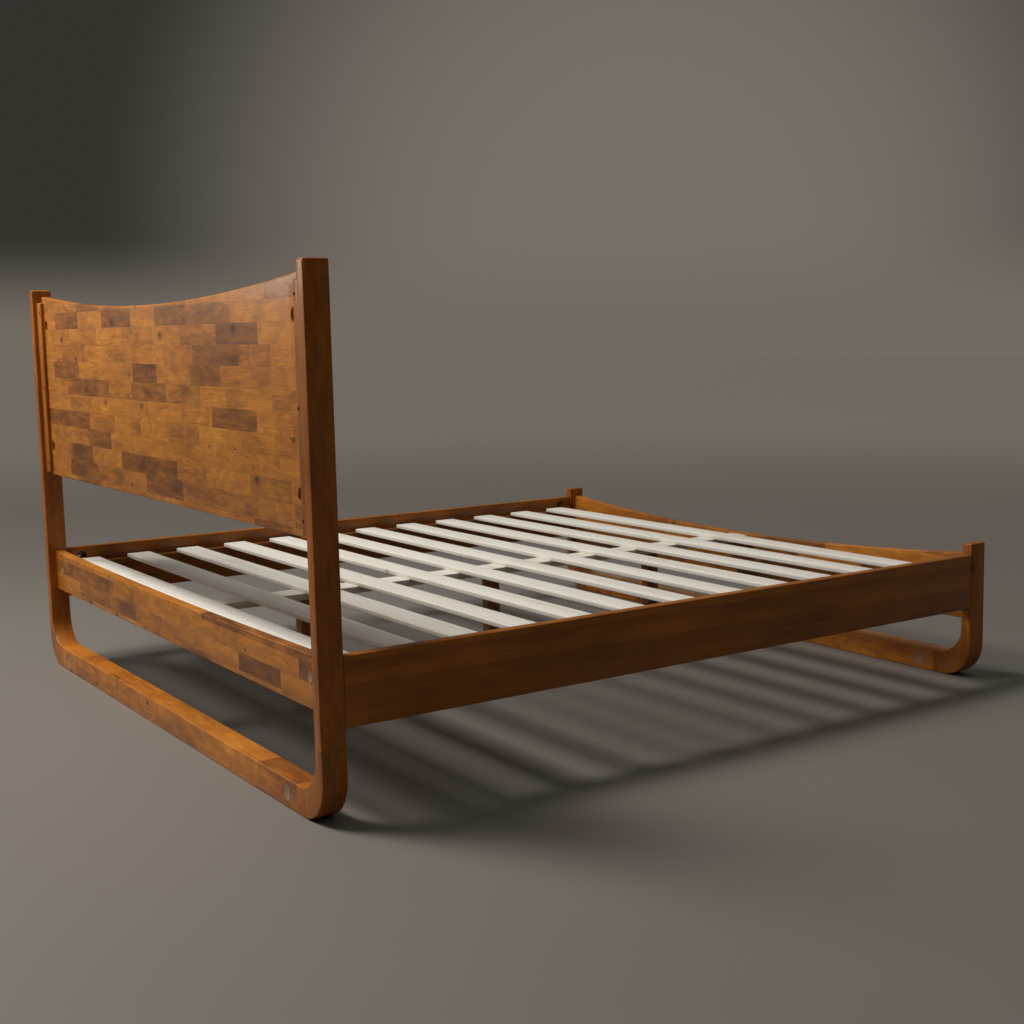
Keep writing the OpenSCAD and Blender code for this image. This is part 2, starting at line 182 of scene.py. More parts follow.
def rod_cutter(start, direction, radius, length, sides=32, flat=None):
    """A drill. With flat=(vector, distance) it stops at a flat wall, as a D-shaped pocket does."""
    w = Vector(direction).normalized()
    u = w.orthogonal().normalized()
    v = w.cross(u)
    ring = []
    for k in range(sides):
        angle = 2 * math.pi * k / sides
        point = u * math.cos(angle) * radius + v * math.sin(angle) * radius
        if flat is not None:
            wall, distance = flat
            over = point.dot(wall) - distance
            if over > 0:
                point = point - Vector(wall) * over
        ring.append(point)
    start = Vector(start)
    return skin("cutter", [[start + p for p in ring], [start + p + w * length for p in ring]])


def cap_and_pin_drills(face_y, cap_x, cap_z, cap_radius, pin_x, pin_z):
    """On both sides of the bed, the recess for a round cap and the bore for its pin."""
    drills = []
    for side in (-1, 1):
        drills.append(rod_cutter((side * cap_x, face_y - CAP_DEEP, cap_z), (0, 1, 0),
                                 cap_radius + CAP_GAP, CAP_DEEP + OVERRUN, 48))
        drills.append(rod_cutter((side * pin_x, face_y - PIN_DEEP, pin_z), (0, 1, 0),
                                 PIN_BORE, PIN_DEEP + OVERRUN, 24))
    return drills


print("mesh helpers ready")

# %% [markdown]
# ## Timber
# The bed is stave-jointed: short strips of one species are glued side by side and end to
# end, then oiled a warm brown. Each stave was cut from a different place in the log, so
# each has its own tone, its own ring pattern and its own lean.
# One node group makes all of this from the place of a point along, across and into the
# board. It lays out the staves, gives each a random number, and draws growth rings around
# an imagined log axis that is different for every stave.

# %% A small language for node graphs
class Graph:
    """Short names for the nodes that this lesson uses."""

    def __init__(self, tree):
        self.tree = tree
        self.count = 0

    def node(self, kind, **settings):
        made = self.tree.nodes.new(kind)
        made.location = (180 * (self.count % 24), -170 * (self.count // 24))
        self.count += 1
        for key, value in settings.items():
            setattr(made, key, value)
        return made

    def feed(self, socket, value):
        if isinstance(value, bpy.types.NodeSocket):
            self.tree.links.new(value, socket)
        elif value is not None:
            socket.default_value = value

    def math(self, operation, *values, clamp=False):
        made = self.node("ShaderNodeMath", operation=operation, use_clamp=clamp)
        for socket, value in zip(made.inputs, values):
            self.feed(socket, value)
        return made.outputs[0]

    def vector(self, x, y, z):
        made = self.node("ShaderNodeCombineXYZ")
        for socket, value in zip(made.inputs, (x, y, z)):
            self.feed(socket, value)
        return made.outputs[0]

    def split(self, vector):
        made = self.node("ShaderNodeSeparateXYZ")
        self.feed(made.inputs[0], vector)
        return made.outputs

    def ramp_between(self, value, low, high, out_low=0.0, out_high=1.0, smooth=True):
        made = self.node("ShaderNodeMapRange",
                         interpolation_type="SMOOTHSTEP" if smooth else "LINEAR")
        for name, item in (("Value", value), ("From Min", low), ("From Max", high),
                           ("To Min", out_low), ("To Max", out_high)):
            self.feed(made.inputs[name], item)
        return made.outputs["Result"]

    def noise(self, vector, scale=1.0, detail=2.0, roughness=0.5, distortion=0.0):
        made = self.node("ShaderNodeTexNoise")
        for name, item in (("Vector", vector), ("Scale", scale), ("Detail", detail),
                           ("Roughness", roughness), ("Distortion", distortion)):
            self.feed(made.inputs[name], item)
        return made.outputs["Fac"]

    def random(self, vector):
        made = self.node("ShaderNodeTexWhiteNoise", noise_dimensions="3D")
        self.feed(made.inputs["Vector"], vector)
        return made.outputs["Value"], self.split(made.outputs["Color"])

    def mix(self, amount, first, second, blend="MIX"):
        made = self.node("ShaderNodeMix", data_type="RGBA", blend_type=blend)
        self.feed(made.inputs["Factor"], amount)
        self.feed(made.inputs[6], first)
        self.feed(made.inputs[7], second)
        return made.outputs[2]

    def tones(self, value, stops):
        made = self.node("ShaderNodeValToRGB")
        ramp = made.color_ramp
        while len(ramp.elements) < len(stops):
            ramp.elements.new(0.5)
        for element, (place, colour) in zip(ramp.elements, stops):
            element.position = place
            element.color = (*colour, 1.0)
        self.feed(made.inputs[0], value)
        return made.outputs[0]


def fresh_material(name):
    """An empty material and a graph to fill it with."""
    material = bpy.data.materials.new(name)
    material.use_nodes = True
    material.node_tree.nodes.clear()
    return material, Graph(material.node_tree)


print("graph helper ready")

# %% [markdown]
# ## The stave layout and the log inside each stave
# A row number comes from the place across the board. The place along it is first bent by a
# slow noise, so that the staves come out at different lengths, and then cut into cells.
# The distance to the imagined log axis gives the rings. Knots are the middles of a sparse
# scatter of cells, and they push the rings aside as a real branch does.

# %% Make the timber group
def make_timber_group():
    tree = bpy.data.node_groups.new("timber", "ShaderNodeTree")
    face = tree.interface
    for name, kind, start in (("Along", "NodeSocketFloat", 0.0), ("Across", "NodeSocketFloat", 0.0),
                              ("Depth", "NodeSocketFloat", 0.0), ("Stave width", "NodeSocketFloat", 0.05),
                              ("Stave length", "NodeSocketFloat", 0.3), ("Seed", "NodeSocketFloat", 0.0),
                              ("Knots", "NodeSocketFloat", 0.5), ("Bend", "NodeSocketFloat", 1.0)):
        face.new_socket(name, in_out="INPUT", socket_type=kind).default_value = start
    for name in ("Tone", "Rings", "Fibre", "Pores", "Knot", "Glue", "Stain", "Hue", "Figure"):
        face.new_socket(name, in_out="OUTPUT", socket_type="NodeSocketFloat")
    g = Graph(tree)
    i = g.node("NodeGroupInput").outputs
    m = g.math

    row_place = m("DIVIDE", i["Across"], i["Stave width"])
    row = m("FLOOR", row_place)
    in_row = m("FRACT", row_place)
    row_random = g.random(g.vector(row, i["Seed"], 3.7))[0]
    slow = g.noise(g.vector(m("DIVIDE", i["Along"], i["Stave length"]),
                            m("MULTIPLY", row, 7.31), i["Seed"]), 0.9, 1.0)
    shift = m("ADD", m("MULTIPLY", slow, 0.9), m("MULTIPLY", row_random, 5.0))
    cell_place = m("ADD", m("DIVIDE", i["Along"], i["Stave length"]), shift)
    cell = m("FLOOR", cell_place)
    in_cell = m("FRACT", cell_place)
    tone, three = g.random(g.vector(cell, row, i["Seed"]))
    hue, more = g.random(g.vector(row, m("ADD", i["Seed"], 5.3), cell))

    side_gap = m("MULTIPLY", m("MINIMUM", in_row, m("SUBTRACT", 1.0, in_row)), i["Stave width"])
    end_gap = m("MULTIPLY", m("MINIMUM", in_cell, m("SUBTRACT", 1.0, in_cell)), i["Stave length"])
    glue = g.ramp_between(m("MINIMUM", side_gap, end_gap), 0.0, 0.0009, 1.0, 0.0)

    # A branch every 0.2 m or so in the staves that have one.
    spot = g.node("ShaderNodeTexVoronoi", voronoi_dimensions="2D")
    g.feed(spot.inputs["Vector"], g.vector(
        m("ADD", m("MULTIPLY", i["Along"], 4.2), m("MULTIPLY", i["Seed"], 1.7)),
        m("MULTIPLY", i["Across"], 6.4), 0.0))
    g.feed(spot.inputs["Scale"], 1.0)
    spot_random = g.split(spot.outputs["Color"])
    away = spot.outputs["Distance"]
    has_knot = m("LESS_THAN", spot_random[0], i["Knots"])
    size = m("ADD", 0.035, m("MULTIPLY", spot_random[1], 0.095))
    ragged = m("ADD", away, m("MULTIPLY", m("SUBTRACT", g.noise(
        g.vector(i["Along"], i["Across"], i["Depth"]), 95.0, 2.0), 0.5), 0.035))
    knot = m("MULTIPLY", has_knot, g.ramp_between(ragged, m("MULTIPLY", size, 0.15), size, 1.0, 0.0))
    push = m("MULTIPLY", has_knot, g.ramp_between(away, 0.0, 0.26, 1.0, 0.0))

    # Rings around a log axis that lies beside and behind the stave.
    local = m("MULTIPLY", m("SUBTRACT", in_row, 0.5), i["Stave width"])
    axis_v = m("MULTIPLY", m("SUBTRACT", three[0], 0.5), 0.11)
    axis_d = m("ADD", 0.012, m("MULTIPLY", three[1], 0.07))
    lean = m("MULTIPLY", m("MULTIPLY", m("SUBTRACT", three[2], 0.5), 0.10), i["Bend"])
    lean_d = m("MULTIPLY", m("MULTIPLY", m("SUBTRACT", more[0], 0.5), 0.12), i["Bend"])
    from_mid = m("MULTIPLY", m("SUBTRACT", in_cell, 0.5), i["Stave length"])
    v = m("ADD", m("SUBTRACT", local, axis_v), m("MULTIPLY", lean, from_mid))
    d = m("ADD", m("ADD", i["Depth"], axis_d), m("MULTIPLY", lean_d, from_mid))
    wander = g.noise(g.vector(m("ADD", m("MULTIPLY", i["Along"], 5.0), m("MULTIPLY", tone, 40.0)),
                              m("MULTIPLY", i["Across"], 22.0), m("MULTIPLY", i["Depth"], 22.0)), 1.0, 3.0)
    reach = m("SQRT", m("ADD", m("MULTIPLY", v, v), m("MULTIPLY", d, d)))
    wild = g.ramp_between(more[2], 0.70, 0.74, 0.010, 0.040)
    reach = m("ADD", reach, m("MULTIPLY", m("MULTIPLY", m("SUBTRACT", wander, 0.5), wild), i["Bend"]))
    reach = m("ADD", reach, m("MULTIPLY", push, 0.016))
    ring_gap = m("ADD", 0.0034, m("MULTIPLY", more[1], 0.0034))
    turn = m("FRACT", m("DIVIDE", reach, ring_gap))
    rings = m("MULTIPLY", g.ramp_between(turn, 0.15, 0.86), g.ramp_between(turn, 0.86, 1.0, 1.0, 0.0))

    fibre = g.noise(g.vector(m("ADD", m("MULTIPLY", i["Along"], 9.0), m("MULTIPLY", hue, 60.0)),
                             m("MULTIPLY", i["Across"], 420.0), m("MULTIPLY", i["Depth"], 420.0)),
                    1.0, 4.0, 0.6)
    pore_field = g.noise(g.vector(m("MULTIPLY", i["Along"], 70.0), m("MULTIPLY", i["Across"], 1100.0),
                                  m("MULTIPLY", i["Depth"], 1100.0)), 1.0, 1.0)
    pores = g.ramp_between(pore_field, 0.62, 0.74)
    stain = g.noise(g.vector(m("ADD", m("MULTIPLY", i["Along"], 3.0), m("MULTIPLY", tone, 9.0)),
                             m("MULTIPLY", i["Across"], 11.0), i["Depth"]), 1.0, 3.0, 0.6)

    figure = g.noise(g.vector(m("ADD", m("MULTIPLY", i["Along"], 7.0), m("MULTIPLY", hue, 31.0)),
                              m("ADD", m("MULTIPLY", i["Across"], 30.0), m("MULTIPLY", push, 1.4)),
                              m("MULTIPLY", i["Depth"], 30.0)), 1.0, 4.0, 0.58, 1.3)

    out = g.node("NodeGroupOutput").inputs
    for name, value in (("Tone", tone), ("Rings", rings), ("Fibre", fibre), ("Pores", pores),
                        ("Knot", knot), ("Glue", glue), ("Stain", stain), ("Hue", hue),
                        ("Figure", figure)):
        g.feed(out[name], value)
    return tree


timber_group = make_timber_group()
print("timber group:", len(timber_group.nodes), "nodes")

# %% [markdown]
# ## From timber to an oiled finish
# The group says where a point is in its stave. A finish turns that into colour. A ramp of
# tones gives each stave its own brown, and the rings, the fibres, the pores and the knots
# darken it. Sharp corners are painted a little lighter: partly wear, partly a painted
# highlight where a rounded edge catches the light. A last multiply darkens the whole
# finish: partly the wood's own deeper tone, partly painted shade for faces in shadow.
# The same patterns raise a very shallow relief, and the pores break up the sheen of the oil.

# %% Make an oiled finish
AXES = {"X": 0, "Y": 1, "Z": 2}
HONEY = ((0.0, (0.170, 0.053, 0.006)), (0.25, (0.320, 0.108, 0.010)), (0.50, (0.520, 0.186, 0.016)),
         (0.78, (0.660, 0.248, 0.022)), (1.0, (0.800, 0.345, 0.040)))
UMBER = ((0.0, (0.110, 0.036, 0.006)), (0.30, (0.190, 0.065, 0.009)), (0.65, (0.290, 0.102, 0.014)),
         (1.0, (0.380, 0.145, 0.022)))
TAN = ((0.0, (0.280, 0.165, 0.085)), (1.0, (0.460, 0.300, 0.170)))


def oiled(name, tones, along="X", across="Z", depth="Y", stave=(0.052, 0.30), seed=0.0, knots=0.35,
          rings=0.22, glue=0.20, contrast=1.0, figure=0.55, bend=1.0, tone_and_painted_shade=(1.0, 1.0, 1.0),
          roughness=(0.34, 0.50), offset=(0.0, 0.0, 0.0)):
    material, g = fresh_material(name)
    m = g.math
    place = g.split(g.node("ShaderNodeTexCoord").outputs["Object"])
    timber = g.node("ShaderNodeGroup", node_tree=timber_group)
    for socket, axis, move in zip(("Along", "Across", "Depth"), (along, across, depth), offset):
        g.feed(timber.inputs[socket], m("ADD", place[AXES[axis]], move))
    for socket, value in (("Stave width", stave[0]), ("Stave length", stave[1]), ("Seed", seed),
                          ("Knots", knots), ("Bend", bend)):
        timber.inputs[socket].default_value = value
    t = timber.outputs

    tone = m("ADD", g.ramp_between(t["Tone"], 0.06, 0.30, 0.16, 0.44),
             m("MULTIPLY", m("MAXIMUM", m("SUBTRACT", t["Tone"], 0.30), 0.0), 0.40))
    tone = m("ADD", m("MULTIPLY", m("SUBTRACT", tone, 0.55), contrast), 0.55)
    cloud = g.noise(g.node("ShaderNodeTexCoord").outputs["Object"], 5.5, 2.0)
    tone = m("ADD", tone, m("MULTIPLY", m("SUBTRACT", cloud, 0.5), 0.45))
    tone = m("ADD", tone, m("MULTIPLY", m("SUBTRACT", t["Stain"], 0.5), 0.75))
    tone = m("ADD", tone, m("MULTIPLY", m("SUBTRACT", t["Figure"], 0.5), figure), clamp=True)
    colour = g.tones(tone, tones)
    ruddy = g.mix(0.22, colour, (1.0, 0.72, 0.50, 1.0), "MULTIPLY")
    colour = g.mix(m("MULTIPLY", t["Hue"], 0.8), colour, ruddy)
    dark = g.mix(1.0, colour, (0.46, 0.33, 0.24, 1.0), "MULTIPLY")
    colour = g.mix(m("MULTIPLY", t["Rings"], rings), colour, dark)
    streak = g.ramp_between(t["Fibre"], 0.30, 0.72, 0.74, 1.16, smooth=False)
    colour = g.mix(1.0, colour, g.vector(streak, streak, streak), "MULTIPLY")
    colour = g.mix(m("MULTIPLY", t["Pores"], 0.45), colour, (0.045, 0.018, 0.008, 1.0))
    colour = g.mix(m("MULTIPLY", t["Knot"], 0.84), colour, (0.045, 0.018, 0.005, 1.0))
    colour = g.mix(m("MULTIPLY", t["Glue"], glue), colour, (0.060, 0.024, 0.010, 1.0))
    # painted highlight and wear: pointy edges are multiplied paler, partly wear, partly a painted
    # highlight along edges that catch the light
    edge = g.ramp_between(g.node("ShaderNodeNewGeometry").outputs["Pointiness"], 0.52, 0.60)
    rub_and_highlight = m("MULTIPLY", edge, g.ramp_between(t["Stain"], 0.40, 0.68, 0.1, 0.5))
    worn_and_highlit = g.mix(1.0, colour, (1.65, 1.60, 1.50, 1.0), "MULTIPLY")
    colour = g.mix(rub_and_highlight, colour, worn_and_highlit)

    height = m("MULTIPLY", t["Fibre"], 0.35)
    height = m("SUBTRACT", height, m("MULTIPLY", t["Rings"], 0.20))
    height = m("SUBTRACT", height, m("MULTIPLY", t["Pores"], 0.60))
    height = m("SUBTRACT", height, m("MULTIPLY", t["Glue"], 0.55))
    height = m("ADD", height, m("MULTIPLY", m("SUBTRACT", t["Tone"], 0.5), 0.25))
    # painted shade: this multiply darkens the whole finish, partly the wood's own deeper tone, partly
    # painted shade where faces stand in shadow
    colour = g.mix(1.0, colour, (*tone_and_painted_shade, 1.0), "MULTIPLY")
    bump = g.node("ShaderNodeBump")
    bump.inputs["Strength"].default_value = 0.22
    bump.inputs["Distance"].default_value = 0.0012
    g.feed(bump.inputs["Height"], height)

    rough = g.ramp_between(t["Fibre"], 0.30, 0.70, roughness[0], roughness[1], smooth=False)
    rough = m("ADD", rough, m("MULTIPLY", t["Pores"], 0.16))
    rough = m("ADD", rough, m("MULTIPLY", t["Knot"], 0.08))
    shader = g.node("ShaderNodeBsdfPrincipled")
    g.feed(shader.inputs["Base Color"], colour)
    g.feed(shader.inputs["Roughness"], rough)
    g.feed(shader.inputs["Normal"], bump.outputs["Normal"])
    shader.inputs["IOR"].default_value = 1.38
    shader.inputs["Coat Weight"].default_value = 0.20
    shader.inputs["Coat Roughness"].default_value = 0.16
    g.feed(g.node("ShaderNodeOutputMaterial").inputs["Surface"], shader.outputs[0])
    return material


print("oiled finish ready")

# %% [markdown]
# ## The limed slats
# The slats and the centre board are plain softwood under a thin white lime wash. The wash
# sits on the surface and the straight grain shows through it as faint grey-yellow lines.

# %% Make the limed finish
SLATS_PER_METRE = 5.868    # tells one slat from the next, so that each has its own grain


def limed(name, along, across, seed, wash=0.88):
    material, g = fresh_material(name)
    m = g.math
    place = g.split(g.node("ShaderNodeTexCoord").outputs["Object"])
    a, b, c = place[AXES[along]], place[AXES[across]], place[2]
    board = m("FLOOR", m("MULTIPLY", b, SLATS_PER_METRE)) if along == "X" else 0.0
    a = m("ADD", a, m("ADD", m("MULTIPLY", board, 3.17), seed))
    bend = g.noise(g.vector(m("MULTIPLY", a, 1.1), m("MULTIPLY", b, 4.0), seed), 1.0, 2.0)
    b_bent = m("ADD", b, m("MULTIPLY", bend, 0.050))
    lines = g.noise(g.vector(m("MULTIPLY", a, 0.8), m("MULTIPLY", b_bent, 150.0),
                             m("MULTIPLY", c, 150.0)), 1.0, 2.0, 0.5)
    grain = g.ramp_between(lines, 0.42, 0.66)
    fibre = g.noise(g.vector(m("MULTIPLY", a, 14.0), m("MULTIPLY", b, 700.0), m("MULTIPLY", c, 700.0)),
                    1.0, 3.0, 0.6)
    patch = g.noise(g.vector(m("MULTIPLY", a, 3.5), m("MULTIPLY", b, 9.0), c), 1.0, 3.0, 0.6)
    spot = g.node("ShaderNodeTexVoronoi", voronoi_dimensions="2D")
    g.feed(spot.inputs["Vector"], g.vector(m("MULTIPLY", a, 2.3), m("MULTIPLY", b, 7.0), 0.0))
    g.feed(spot.inputs["Scale"], 1.0)
    knot = m("MULTIPLY", m("LESS_THAN", g.split(spot.outputs["Color"])[0], 0.16),
             g.ramp_between(spot.outputs["Distance"], 0.012, 0.045, 1.0, 0.0))
    wood = g.mix(grain, (0.560, 0.455, 0.300, 1.0), (0.400, 0.300, 0.175, 1.0))
    lime = g.mix(g.ramp_between(fibre, 0.35, 0.70), (0.900, 0.885, 0.830, 1.0), (0.780, 0.760, 0.690, 1.0))
    cover = m("SUBTRACT", wash, m("MULTIPLY", grain, 0.14))
    cover = m("SUBTRACT", cover, m("MULTIPLY", g.ramp_between(patch, 0.50, 0.80), 0.28), clamp=True)
    colour = g.mix(cover, wood, lime)
    colour = g.mix(m("MULTIPLY", knot, 0.55), colour, (0.330, 0.230, 0.130, 1.0))
    edge = g.ramp_between(g.node("ShaderNodeNewGeometry").outputs["Pointiness"], 0.52, 0.60)
    colour = g.mix(m("MULTIPLY", edge, 0.30), colour, (0.520, 0.430, 0.300, 1.0))
    bump = g.node("ShaderNodeBump")
    bump.inputs["Strength"].default_value = 0.25
    bump.inputs["Distance"].default_value = 0.0010
    g.feed(bump.inputs["Height"], m("SUBTRACT", m("MULTIPLY", fibre, 0.5), m("MULTIPLY", grain, 0.4)))
    shader = g.node("ShaderNodeBsdfPrincipled")
    g.feed(shader.inputs["Base Color"], colour)
    g.feed(shader.inputs["Roughness"], g.ramp_between(fibre, 0.3, 0.7, 0.58, 0.78, smooth=False))
    g.feed(shader.inputs["Normal"], bump.outputs["Normal"])
    shader.inputs["IOR"].default_value = 1.45
    g.feed(g.node("ShaderNodeOutputMaterial").inputs["Surface"], shader.outputs[0])
    return material


print("limed finish ready")

# %% [markdown]
# ## Zinc-plated fixings
# Studs, nuts, washers and screws are zinc plated. The plating is a little cloudy, and fine
# turning marks break up its shine.

# %% Make the metal finish
def zinc(name):
    material, g = fresh_material(name)
    m = g.math
    place = g.node("ShaderNodeTexCoord").outputs["Object"]
    cloud = g.noise(place, 180.0, 3.0, 0.6)
    marks = g.noise(place, 1900.0, 2.0, 0.5)
    colour = g.mix(cloud, (0.60, 0.60, 0.57, 1.0), (0.42, 0.41, 0.37, 1.0))
    bump = g.node("ShaderNodeBump")
    bump.inputs["Strength"].default_value = 0.15
    bump.inputs["Distance"].default_value = 0.0003
    g.feed(bump.inputs["Height"], marks)
    shader = g.node("ShaderNodeBsdfPrincipled")
    g.feed(shader.inputs["Base Color"], colour)
    shader.inputs["Metallic"].default_value = 1.0
    g.feed(shader.inputs["Roughness"], m("ADD", m("MULTIPLY", cloud, 0.22), 0.24))
    g.feed(shader.inputs["Normal"], bump.outputs["Normal"])
    g.feed(g.node("ShaderNodeOutputMaterial").inputs["Surface"], shader.outputs[0])
    return material


print("zinc finish ready")

# %% [markdown]
# ## One finish for each job
# The grain always runs the long way of a board. The headboard and the cross rails have
# short, mixed staves. The side rails are one long board each. The posts are long
# laminations, and the slats are limed. Most oiled pieces get a last multiply that darkens
# them, the posts, corners and side rails most: partly the wood's own deeper tone, partly
# painted shade for faces that stand in shadow.

# %% Make the finishes
finish = {
    "headboard": oiled("headboard staves", HONEY, stave=(0.0490, 0.225), seed=4.0, knots=0.62,
                       offset=(0.02, 0.004, 0.0), figure=0.95, rings=0.34, contrast=0.88),
    "head rail": oiled("head rail staves", HONEY, stave=(0.044, 0.250), seed=11.0, knots=0.45,
                       offset=(0.0, 0.01, 0.0), figure=1.05, rings=0.32, tone_and_painted_shade=(0.92, 0.90, 0.82)),
    "foot rail": oiled("foot rail staves", HONEY, stave=(0.050, 0.300), seed=17.0, knots=0.40,
                       figure=0.80, rings=0.30, tone_and_painted_shade=(0.80, 0.78, 0.78)),
    "runner": oiled("runner staves", HONEY, along="X", across="Z", depth="Y", stave=(0.034, 0.340),
                    seed=23.0, knots=0.45, figure=1.10, rings=0.30,
                    tone_and_painted_shade=(0.94, 0.90, 0.80)),
    "post": oiled("post timber", HONEY, along="Z", across="Y", depth="X", stave=(0.090, 0.95),
                  seed=31.0, knots=0.25, contrast=0.45, glue=0.10, rings=0.18, bend=0.30, figure=0.90,
                  offset=(0.0, 0.033, 0.0), tone_and_painted_shade=(0.70, 0.60, 0.42)),
    "corner": oiled("corner timber", HONEY, along="Z", across="X", depth="Y", stave=(0.300, 1.2),
                    seed=37.0, knots=0.15, contrast=0.3, glue=0.1, rings=0.20, bend=0.4, figure=0.90,
                    tone_and_painted_shade=(0.76, 0.68, 0.48)),
    "side rail": oiled("side rail timber", HONEY, along="Y", across="Z", depth="X", stave=(0.400, 9.0),
                       seed=41.0, knots=0.06, contrast=0.2, glue=0.0, rings=0.42, bend=0.05, figure=0.55,
                       offset=(4.5, 0.0, 0.0), tone_and_painted_shade=(0.66, 0.60, 0.42)),
    "batten": oiled("batten timber", HONEY, along="Z", across="X", depth="Y", stave=(0.200, 1.4),
                    seed=43.0, knots=0.1, contrast=0.4, glue=0.1, rings=0.16, bend=0.4,
                    tone_and_painted_shade=(0.80, 0.72, 0.70)),
    "ledger": oiled("ledger timber", UMBER, along="Y", across="Z", depth="X", stave=(0.100, 0.9),
                    seed=47.0, knots=0.2, contrast=0.7, bend=0.4),
    "leg": oiled("leg timber", UMBER, along="Z", across="Y", depth="X", stave=(0.200, 0.9),
                 seed=53.0, knots=0.2, contrast=0.8, glue=0.1, bend=0.4),
    "cap": oiled("cap timber", TAN, along="X", across="Z", depth="Y", stave=(0.2, 0.4),
                 seed=59.0, knots=0.0, contrast=0.4, glue=0.0, rings=0.12, bend=0.4),
    "dowel": oiled("dowel timber", TAN, along="Z", across="X", depth="Y", stave=(0.2, 0.4),
                   seed=61.0, knots=0.0, contrast=0.4, glue=0.0, rings=0.12, bend=0.4),
    "slat": limed("limed slats", "X", "Y", 2.0),
    "centre board": limed("limed centre board", "Y", "X", 7.0, wash=0.82),
    "zinc": zinc("zinc plate"),
}
print("finishes:", ", ".join(finish))

# %% [markdown]
# ## The sled end frames
# Seen from the end, a post, a corner block and the runner make one smooth U. The corner
# block is the interesting piece: it turns from a flat post into a deep runner. Its skin
# is a row of rings, each one between a point on the inner curve and one on the outer curve.
# All three pieces share one edge radius, and a hair-thin chamfer at each meeting face
# leaves the fine dark joint line that glued parts show.

# %% Posts
SEAM = 0.5 * MM        # hair-thin chamfer at a joint
POST_TOP = 6.0 * MM    # radius on the top of a post


def build_post(node, low, high):
    top = high.z
    soft = POST_TOP
    rings = []
    for z, inset in ((low.z, SEAM), (low.z + SEAM, 0.0), (low.z + 0.3 * (top - low.z), 0.0),
                     (low.z + 0.6 * (top - low.z), 0.0)):
        rings.append((z, inset))
    for k in range(6):
        angle = math.radians(90 * k / 5)
        rings.append((top - soft + soft * math.sin(angle), soft * (1 - math.cos(angle))))
    skins = []
    for z, inset in rings:
        outline = rounded(low.x + inset, high.x - inset, low.y + inset, high.y - inset,
                          max(FRAME_EDGE - inset, 1.2 * MM))
        skins.append([Vector((x, y, z)) for x, y in outline])
    return settle(skin(node + "_shaped", skins))


for node in ("head_post_left", "head_post_right", "foot_post_left", "foot_post_right"):
    keep(build_post(node, *span(node)), node, finish["post"])

# %% Corner blocks
RUNNER_TOP = span("head_runner")[1].z
OUTER_CURVE = 100 * MM
INNER_CURVE = 85 * MM


def build_corner(node):
    low, high = span(node)
    side = 1.0 if high.x > 0 else -1.0
    outer_x = max(abs(low.x), abs(high.x))
    joint_x = min(abs(low.x), abs(high.x))
    post_low, post_high = span(node.replace("corner", "post"))
    post_x = min(abs(post_low.x), abs(post_high.x))
    pairs = [((joint_x, RUNNER_TOP), (joint_x, 0.0)),
             ((joint_x + SEAM, RUNNER_TOP), (joint_x + SEAM, 0.0))]
    for k in range(15):
        angle = math.radians(90 * k / 14)
        pairs.append(((post_x - INNER_CURVE + INNER_CURVE * math.sin(angle),
                       RUNNER_TOP + INNER_CURVE - INNER_CURVE * math.cos(angle)),
                      (outer_x - OUTER_CURVE + OUTER_CURVE * math.sin(angle),
                       OUTER_CURVE - OUTER_CURVE * math.cos(angle))))
    for z in (high.z - SEAM, high.z):
        pairs.append(((post_x, z), (outer_x, z)))
    rings = []
    for index, (inner, outer) in enumerate(pairs):
        inset = SEAM if index in (0, len(pairs) - 1) else 0.0
        inner, outer = Vector(inner), Vector(outer)
        across = outer - inner
        depth = across.length
        across.normalize()
        ring = []
        for y, reach in rounded(low.y + inset, high.y - inset, inset, depth - inset,
                                FRAME_EDGE - inset):
            spot = inner + across * reach
            ring.append(Vector((side * spot.x, y, spot.y)))
        rings.append(ring)
    return settle(skin(node + "_shaped", rings))


for node in ("head_corner_left", "head_corner_right", "foot_corner_left", "foot_corner_right"):
    keep(build_corner(node), node, finish["corner"])

# %% Runners with their round pockets
RUNNER_PIN_IN = 26 * MM    # from the end of a runner to its pin


def build_runner(node, caps):
    low, high = span(node)
    rings = []
    for x, inset in ((low.x, SEAM), (low.x + SEAM, 0.0), (low.x / 2, 0.0), (0.0, 0.0),
                     (high.x / 2, 0.0), (high.x - SEAM, 0.0), (high.x, SEAM)):
        outline = rounded(low.y + inset, high.y - inset, low.z + inset, high.z - inset,
                          FRAME_EDGE - inset)
        rings.append([Vector((x, y, z)) for y, z in outline])
    runner = settle(skin(node + "_shaped", rings))
    cap_low, cap_high = span(caps)
    radius = (cap_high.z - cap_low.z) / 2
    middle_z = (cap_high.z + cap_low.z) / 2
    return cut(runner, cap_and_pin_drills(high.y, cap_high.x - radius, middle_z, radius,
                                          high.x - RUNNER_PIN_IN, middle_z))


def build_caps(node, faces):
    """Round plugs with a fine raised rim, one on each side at each face."""
    low, high = span(node)
    radius = (high.z - low.z) / 2
    middle_z = (high.z + low.z) / 2
    verts, skins = [], []
    profile = ((0.84, -0.6), (0.89, -0.2), (0.96, -0.2), (1.0, -0.6), (1.0, -3.0))
    sides = 48
    for face_y in faces:
        for side in (-1, 1):
            centre_x = side * (high.x - radius)
            base = len(verts)
            for part, depth in profile:
                for k in range(sides):
                    angle = 2 * math.pi * k / sides
                    verts.append((centre_x + radius * part * math.cos(angle), face_y + depth * MM,
                                  middle_z + radius * part * math.sin(angle)))
            for ring in range(len(profile) - 1):
                for k in range(sides):
                    n = (k + 1) % sides
                    a = base + ring * sides
                    skins.append((a + k, a + n, a + n + sides, a + k + sides))
            skins.append(tuple(range(base, base + sides)))
            back = base + (len(profile) - 1) * sides
            skins.append(tuple(range(back, back + sides)))
    return settle(mesh_object(node + "_shaped", verts, skins))


